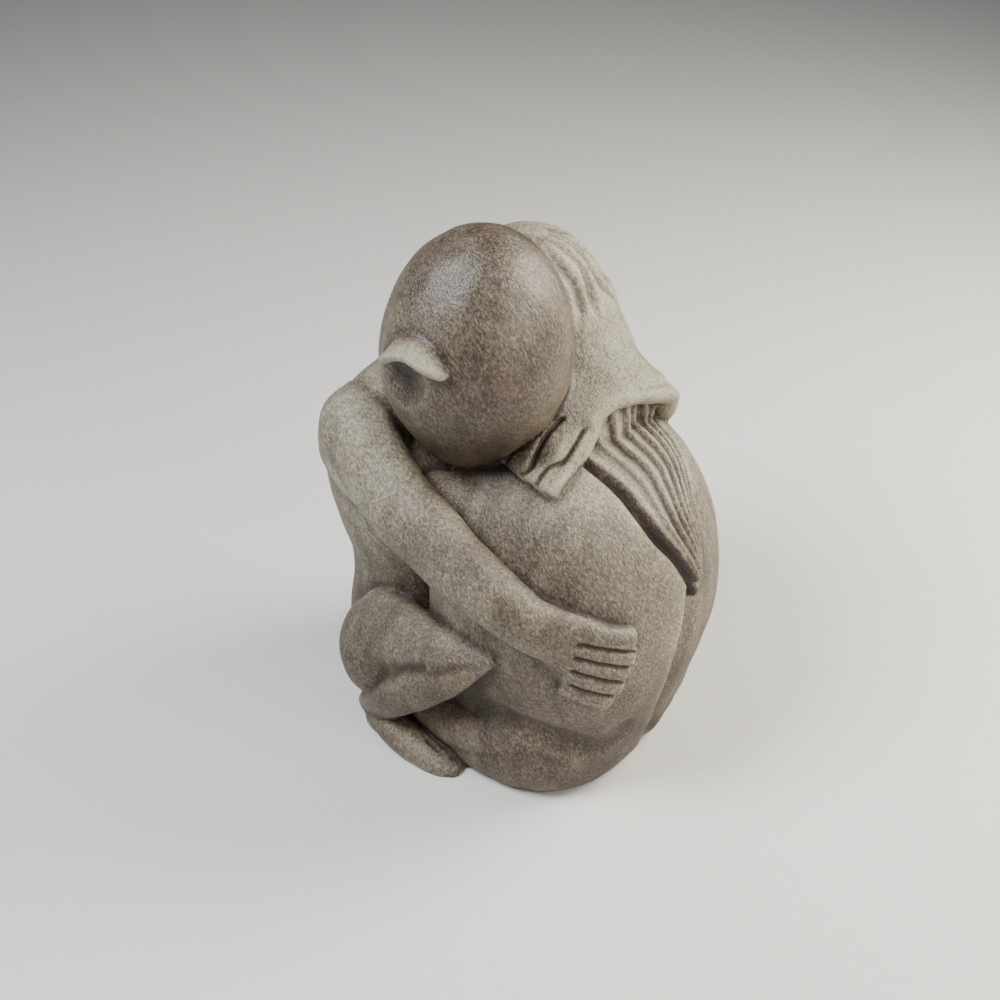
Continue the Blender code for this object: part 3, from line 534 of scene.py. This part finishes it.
# Pleats like overlapping slats: each starts at a crest and falls evenly to the foot of the next. Beside the loose
# edge the wood is cut away by a sine of the distance. Gives the height added and how dark the edge's shade is.
def hairRelief(points):
    part = hairFall
    way = points @ np.array(part["way"])
    edges = curveThrough(part["edges"], 6)
    low, high = (np.interp(way, edges[:, 0], edges[:, side]) for side in (1, 2))
    width = high - low
    share = (points[:, 1] - low) / width
    crests = np.array(part["crests"])
    slat = np.clip(np.searchsorted(crests, share, side="right") - 1, 0, len(crests) - 2)
    slatWidth = (crests[slat + 1] - crests[slat]) * width
    along = np.clip((share - crests[slat]) * width, 0, slatWidth)
    riser = np.minimum(part["riser"], 0.5 * slatWidth)
    fall = np.minimum(along / (slatWidth - riser), (slatWidth - along) / riser)
    tip, top = part["edges"][0][0], part["edges"][-1][0]
    thick = part["topThickness"] + (1 - part["topThickness"]) * np.clip((top - way) / part["thickenOver"], 0, 1)
    depth = part["pleatDepth"] * np.clip(slatWidth / part["fullSlat"], 0, 1)
    depth = depth * np.where(slat == 0, part["firstPleat"], 1)
    raised = part["lift"] * thick * np.clip((1 - share) / part["liftShare"], 0, 1)
    raised = raised - np.where(share > 0, depth * fall, 0)
    raised *= np.clip(share * width / part["edgeRamp"], 0, 1) * (share < 1)
    raised *= np.clip((way - tip) / part["tipRamp"], part["tipThickness"], 1)
    outside = np.clip((low - points[:, 1]) / part["undercutWidth"], 0, 1)
    cut = part["undercutDepth"] * thick * np.sin(np.pi * outside ** part["undercutPower"])
    cut = cut * np.clip((part["undercutTo"] - way) / part["undercutRamp"], 0, 1)
    inShade = np.clip(1 - np.abs(low - points[:, 1] + part["shadeIn"]) / part["shadeWidth"], 0, 1)
    inLength = (way > tip) * (way < top)
    return (raised - cut) * np.clip(way - tip, 0, 1) * (way < top), inShade * inLength * thick


# The groove down her spine: a sharp edge on the near side and a long slope beyond it.
def spineCut(points):
    rows = np.array(spine["edge"][::-1])
    past = points[:, 1] - np.interp(points[:, 2], rows[:, 0], rows[:, 1])
    cut = spine["depth"] * np.where(past < 0, np.clip(1 + past, 0, 1), np.clip(1 - past / spine["width"], 0, 1))
    return np.where((points[:, 0] > spine["leastX"]) & (points[:, 2] < spine["edge"][0][0]), cut, 0)


# What the rasp leaves: a sum of slow waves, each a sine along its own direction.
def toolUnevenness(points):
    total = np.zeros(len(points))
    for number in range(rasp["waves"]):
        turn, rise = rasp["turn"] * number, rasp["rise"] * math.sin(rasp["riseTurn"] * number)
        way = np.array((math.cos(turn) * math.cos(rise), math.sin(turn) * math.cos(rise), math.sin(rise)))
        length = rasp["shortest"] + rasp["longer"] * number
        total += np.sin(points @ way * 2 * np.pi / length + rasp["phase"] * number)
    return total * rasp["height"]


# Moves a line's points to the nearest points of the joined skin and eases the line twice.
def laidOnSkin(run, skinPoints):
    snapped = np.array([skinPoints.find(point)[0] for point in run.tolist()])
    neighbours = np.stack([np.arange(len(run) - 1), np.arange(1, len(run))], -1)
    return relax(snapped, neighbours, 2)


# Share of hair and spine that a point takes: (reach - distance to the smooth skin) x (how alike they face), each
# from 0 to 1.
def shareOnBack(points, facing):
    limits = backLimits
    within = (points[:, 0] > limits["leastX"]) & (points[:, 2] < limits["mostZ"])
    within &= np.abs(points[:, 1]) < limits["mostY"]
    share = np.zeros(len(points))
    for i in np.flatnonzero(within):
        hits = [tree.find_nearest(Vector(points[i])) for tree in backTrees]
        _, skinFacing, _, distance = min(hits, key=lambda hit: hit[3])
        alike = (abs(skinFacing.dot(Vector(facing[i]))) - limits["leastFacing"]) / limits["facingRamp"]
        share[i] = min(max(limits["reach"] - distance, 0), 1) * min(max(alike, 0), 1)
    return share


# Sinks each point by the deepest cut over it, a cut being its depth x nearness to its line, raised to a power, then
# adds spine, hair and the rasp's waves. Gives how much a place lies in the shade of the hair's loose edge.
def carveSkin(mesh):
    points, facing = readPoints(mesh), readPoints(mesh, "normal")
    lines = [(halfWidth, depth, curveThrough(line, lineSteps))
             for halfWidth, depth, line in (*cuts.values(), *waveLines(), *hiddenFaceLines())]
    skinPoints = pointTree(points)
    for tree, fingers in ((herTree, man["nearFingers"]), (herTree, man["farFingers"]),
                          (hisTree, woman["fingers"]), (hisTree, herFarFingers)):
        for line in gapsBetween(tree, fingers):
            run = laidOnSkin(curveThrough(line, lineSteps), skinPoints)
            lines.append((fingerShape["gapWidth"], fingerShape["gapDepth"], run))
    sunk = np.zeros(len(points))
    for halfWidth, depth, run in lines:
        sunk = np.maximum(sunk, depth * nearness(lineDistance(points, run), halfWidth) ** cutPower)
    centre, reach, depth = man["earHollow"]
    hollow = depth * nearness(distanceTo(points, centre), reach) ** cutPower
    sunk = np.maximum(sunk, np.where(headDistance(points) < man["hollowWithin"], hollow, 0))
    for centre in drillHoles["centres"]:
        hole = nearness(distanceTo(points, centre), drillHoles["radius"], drillHoles["rim"])
        sunk = np.maximum(sunk, drillHoles["depth"] * hole)
    onBack = shareOnBack(points, facing)
    raised, inShade = hairRelief(points)
    sunk += onBack * (spineCut(points) - raised)
    writePoints(mesh, points - facing * (sunk - toolUnevenness(points))[:, None])
    return onBack * inShade


print("shaping the figures")
carving = gather(allMasses(), "carved_couple")
skin = carving.modifiers.new("fuse", "REMESH")
skin.mode = "VOXEL"
skin.voxel_size = block["fuseStep"]
applyModifiers(carving)
print("fused skin:", len(carving.data.vertices), "points")
edges = readEdges(carving.data)
fused = relax(readPoints(carving.data), edges, block["softenTimes"])
share = np.zeros(len(fused))
for centre, reach in blends:
    share = np.maximum(share, np.minimum(blending["gain"] * nearness(distanceTo(fused, centre), reach), 1))
near = edges[(share[edges[:, 0]] > 0) | (share[edges[:, 1]] > 0)]
used, local = np.unique(near, return_inverse=True)
fused[used] = relax(fused[used], local.reshape(-1, 2), blending["times"], blending["share"] * share[used])
writePoints(carving.data, fused)
print("carving the surface")
# Besides carving, this gives where painted shade lies along the hair's loose edge.
hairEdgeShade = carveSkin(carving.data)
writePoints(carving.data, relax(readPoints(carving.data), edges, 1, block["finishShare"]))

# How deep the painted shade of creases is, in narrow creases and in broad ones: times relaxed, gain, least value and
# weight. Below zero, on ridges, it lightens the wood a little.
creaseShadeLook = {"tight": (5, 4, -0.3, 0.5), "broad": (50, 1.2, -0.35, 1.0), "hairEdgeShade": 1.5}


# How far the relaxed skin is outside the real one, in steps, times a gain, kept from a least value to 1: painted
# shade, darker deeper in a crease.
def creaseShadeDepth(points, facing, times, gain, least, weight):
    outside = ((relax(points, edges, times) - points) * facing).sum(1)
    return weight * np.clip(outside * gain, least, 1)


densePoints, facing = readPoints(carving.data), readPoints(carving.data, "normal")
denseCreaseShade = creaseShadeDepth(densePoints, facing, *creaseShadeLook["tight"])
denseCreaseShade = denseCreaseShade + creaseShadeDepth(densePoints, facing, *creaseShadeLook["broad"])
# The painted shade along the hair's loose edge joins the painted shade of the creases.
denseCreaseShade = relax(denseCreaseShade, edges, 1)[:, 0] + creaseShadeLook["hairEdgeShade"] * hairEdgeShade
denseTree = pointTree(densePoints)

print("thinning the faces")
thin = carving.modifiers.new("thin", "DECIMATE")
carving.data.calc_loop_triangles()
thin.ratio = min(1.0, block["mostFaces"] / len(carving.data.loop_triangles))
applyModifiers(carving)
points = readPoints(carving.data)
source = np.array([denseTree.find(point)[1] for point in points.tolist()])
points[:, 2] = np.maximum(points[:, 2], 0)   # the underside is sawn flat
middle = (points.min(0) + points.max(0)) / 2
middle[2] = 0
writePoints(carving.data, (points - middle) * gridStep)
carving.data.shade_smooth()
print("faces:", len(carving.data.polygons), "middle:", middle.round(2).tolist())


# Keeps a value for each point, which the wood's look reads.
def paintLayer(name, values):
    layer = carving.data.attributes.new(name, "FLOAT", "POINT")
    layer.data.foreach_set("value", values.astype(np.float32))


# Where the wood is paler (+) or darker (-): his rubbed head is dark; her hair and his far hand are pale, partly their
# own colour and partly a painted highlight of the light from above; the low parts carry painted shade.
toneLook = {
    "headEdge": 1.10,      # shares of his head's radii at which the rubbed wood has ended, fading over `headFade`
    "headFade": 0.08,
    "paleAbove": (112, 30),   # height at which the pale part starts, and over which it grows
    "paleFront": (-10, 20),   # the same along X
    # height below which painted shade darkens the wood, and over which it deepens
    "shadeBelow": (70, 50),
    "paleAndLitTop": 0.55,
    "head": 0.5,
    "lowShade": 0.5,
    "softenTimes": 8,
}
onHead = np.clip((toneLook["headEdge"] - headDistance(points)) / toneLook["headFade"], 0, 1)
(paleZ, paleRise), (paleX, paleRun) = toneLook["paleAbove"], toneLook["paleFront"]
# Paler high up and towards +X: partly the hair's own colour, partly a painted highlight where the light falls.
paleAndLitTop = np.clip((points[:, 2] - paleZ) / paleRise, 0, 1) * np.clip((points[:, 0] - paleX) / paleRun, 0, 1)
# Painted shade: the wood darkens towards the bottom, where less light reaches it.
shadeStartZ, shadeFall = toneLook["shadeBelow"]
lowPaintedShade = np.clip((shadeStartZ - points[:, 2]) / shadeFall, 0, 1)
tone = toneLook["paleAndLitTop"] * paleAndLitTop * (1 - onHead) - toneLook["head"] * onHead - toneLook["lowShade"] * lowPaintedShade
# The "hollow" layer is painted shade: darker in creases and along the hair's loose edge.
paintLayer("hollow", denseCreaseShade[source])
paintLayer("tone", relax(tone[:, None], readEdges(carving.data), toneLook["softenTimes"])[:, 0])
paintLayer("polish", onHead)


woodLook = {
    # place on the ramp and colour
    "colours": {
        "pit": (0.02, (0.022, 0.013, 0.009, 1)),
        "dark": (0.26, (0.062, 0.042, 0.028, 1)),
        "middle": (0.56, (0.140, 0.113, 0.079, 1)),
        "pale": (0.98, (0.340, 0.315, 0.230, 1)),
    },
    "chip": (0.150, 0.070, 0.045, 1),  # redder wood laid bare in worn places
    "chipFrom": (0.60, 0.70),          # patch values between which the worn places set in
    "chipShare": 0.35,
    # scale, detail, length along the strokes, roughness, and weight in the colour
    "noises": {
        "cloud": (24, 3, 1.0, 0.5, 0.8),
        "patch": (95, 4, 1.3, 0.6, 0.45),
        "grit": (850, 3, 1.6, 0.65, 0.8),
        "stroke": (1900, 2, 2.6, 0.6, 1.2),
    },
    "strokeWay": (-0.45, -0.15, 0.88),
    "toneWeight": 0.5,
    "creaseShadeWeight": 0.38,
    "roughness": (0.62, 0.40),         # bare wood, wood polished by hands
    "bump": 0.00022,
}


# Colour level = half + the weighted noises, each less half + the tone of the place - the painted shade of creases and
# of the hair's loose edge.
def makeWood(name, look):
    material = bpy.data.materials.new(name)
    material.use_nodes = True
    nodes, links = material.node_tree.nodes, material.node_tree.links
    shader = nodes["Principled BSDF"]
    where = nodes.new("ShaderNodeTexCoord")
    turned = Vector(look["strokeWay"]).to_track_quat("Z", "Y").to_euler()

    # Noise on object coordinates, drawn out along the strokes' way.
    def noise(scale, detail, stretch, roughness):
        place = nodes.new("ShaderNodeMapping")
        place.vector_type = "TEXTURE"
        place.inputs["Rotation"].default_value = turned
        place.inputs["Scale"].default_value = (1, 1, stretch)
        links.new(where.outputs["Object"], place.inputs["Vector"])
        node = nodes.new("ShaderNodeTexNoise")
        node.inputs["Scale"].default_value = scale
        node.inputs["Detail"].default_value = detail
        node.inputs["Roughness"].default_value = roughness
        links.new(place.outputs["Vector"], node.inputs["Vector"])
        return node.outputs["Fac"]

    # Sum, difference or product of two numbers or sockets.
    def math2(kind, a, b):
        node = nodes.new("ShaderNodeMath")
        node.operation = kind
        for socket, value in zip(node.inputs, (a, b)):
            if isinstance(value, (int, float)):
                socket.default_value = value
            else:
                links.new(value, socket)
        return node.outputs[0]

    # A value that paintLayer kept with the points.
    def attribute(name):
        node = nodes.new("ShaderNodeAttribute")
        node.attribute_name = name
        return node.outputs["Fac"]

    # Carries the range low to high over to toLow to toHigh in proportion, held at both ends.
    def ranged(value, low, high, toLow=0.0, toHigh=1.0):
        node = nodes.new("ShaderNodeMapRange")
        links.new(value, node.inputs["Value"])
        for socket, number in zip(("From Min", "From Max", "To Min", "To Max"), (low, high, toLow, toHigh)):
            node.inputs[socket].default_value = number
        return node.outputs["Result"]

    # first + share x (second - first), for colours.
    def mix(share, first, second):
        node = nodes.new("ShaderNodeMix")
        node.data_type = "RGBA"
        links.new(share, node.inputs["Factor"])
        for socket, value in ((node.inputs["A"], first), (node.inputs["B"], second)):
            if isinstance(value, tuple):
                socket.default_value = value
            else:
                links.new(value, socket)
        return node.outputs["Result"]

    level = math2("ADD", 0.5, math2("MULTIPLY", attribute("tone"), look["toneWeight"]))
    grains = {}
    for kind, (*shape, weight) in look["noises"].items():
        grains[kind] = noise(*shape)
        level = math2("ADD", level, math2("MULTIPLY", math2("SUBTRACT", grains[kind], 0.5), weight))
    # Painted shade: the wood is darker in creases and along the hair's loose edge.
    level = math2("SUBTRACT", level, math2("MULTIPLY", attribute("hollow"), look["creaseShadeWeight"]))
    ramp = nodes.new("ShaderNodeValToRGB")
    stops = ramp.color_ramp.elements
    (first, firstColour), *between, (last, lastColour) = look["colours"].values()
    stops[0].position, stops[0].color = first, firstColour
    stops[1].position, stops[1].color = last, lastColour
    for place, colour in between:
        stops.new(place).color = colour
    links.new(level, ramp.inputs["Fac"])
    worn = math2("MULTIPLY", ranged(grains["patch"], *look["chipFrom"]), look["chipShare"])
    links.new(mix(worn, ramp.outputs["Color"], look["chip"]), shader.inputs["Base Color"])
    bump = nodes.new("ShaderNodeBump")
    bump.inputs["Strength"].default_value = 1.0
    bump.inputs["Distance"].default_value = look["bump"]
    links.new(math2("ADD", grains["stroke"], grains["grit"]), bump.inputs["Height"])
    links.new(bump.outputs["Normal"], shader.inputs["Normal"])
    links.new(ranged(attribute("polish"), 0, 1, *look["roughness"]), shader.inputs["Roughness"])
    return material


print("wood finish")
carving.data.materials.clear()
carving.data.materials.append(makeWood("weathered_wood", woodLook))
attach(carving, "root")
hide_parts("hug_sculpture")

print("floor, lights and camera")
studio = {
    "floorSize": 4.0,
    "floorColour": (0.62, 0.60, 0.57, 1),
    "floorRoughness": 0.85,
    "worldColour": (0.80, 0.85, 0.92, 1),
    "worldStrength": 0.13,
    "lightsAimedAt": (5.0, -2.0, 90.0),
    # name: place in steps round the carving, size in metres, power, colour
    "lights": {
        "key": ((-200, -360, 620), 0.34, 7.8, (0.90, 0.95, 1.0)),
        "back": ((330, 380, 420), 0.40, 8.0, (1.0, 0.98, 0.88)),
        "right": ((560, -100, 330), 0.45, 2.4, (1.0, 0.94, 0.84)),
    },
}


# A plain square at height 0, reaching `half` to each side.
def makeFloor(half):
    mesh = bpy.data.meshes.new("floor")
    mesh.from_pydata([(-half, -half, 0), (half, -half, 0), (half, half, 0), (-half, half, 0)], [], [(0, 1, 2, 3)])
    floor = bpy.data.objects.new("floor", mesh)
    bpy.context.scene.collection.objects.link(floor)
    paint = bpy.data.materials.new("floor_paint")
    paint.use_nodes = True
    shader = paint.node_tree.nodes["Principled BSDF"]
    shader.inputs["Base Color"].default_value = studio["floorColour"]
    shader.inputs["Roughness"].default_value = studio["floorRoughness"]
    mesh.materials.append(paint)


# Puts a lamp or camera in its place, its -Z towards the target.
def aim(thing, place, target):
    thing.location = place
    thing.rotation_euler = (Vector(target) - Vector(place)).to_track_quat("-Z", "Y").to_euler()


makeFloor(studio["floorSize"] / 2)
centre = (np.array(studio["lightsAimedAt"]) - middle) * gridStep
for name, (place, size, power, colour) in studio["lights"].items():
    lamp = bpy.data.lights.new(name, "AREA")
    lamp.shape = "DISK"
    lamp.size = size
    lamp.energy = power
    lamp.color = colour
    lampObject = bpy.data.objects.new(name, lamp)
    bpy.context.scene.collection.objects.link(lampObject)
    aim(lampObject, (np.array(place, float) - middle) * gridStep, centre)
world = bpy.data.worlds.new("studio")
bpy.context.scene.world = world
world.use_nodes = True
background = world.node_tree.nodes["Background"]
background.inputs["Color"].default_value = studio["worldColour"]
background.inputs["Strength"].default_value = studio["worldStrength"]

# Target and distance in steps, the two angles in degrees, lens and sensor in millimetres, nearest in metres.
shot = {"target": (5.9, -13.0, 96.3), "turn": 35.0, "rise": 35.0, "distance": 524.0, "lens": 54.0,
        "sensor": 36.0, "nearest": 0.01}
turn, rise = math.radians(shot["turn"]), math.radians(shot["rise"])
back = np.array((math.sin(turn) * math.cos(rise), -math.cos(turn) * math.cos(rise), math.sin(rise)))
target = (np.array(shot["target"]) - middle) * gridStep
lens = bpy.data.cameras.new("camera")
lens.lens = shot["lens"]
lens.sensor_width = shot["sensor"]
lens.clip_start = shot["nearest"]
camera = bpy.data.objects.new("camera", lens)
bpy.context.scene.collection.objects.link(camera)
aim(camera, target + back * shot["distance"] * gridStep, target)
bpy.context.scene.camera = camera
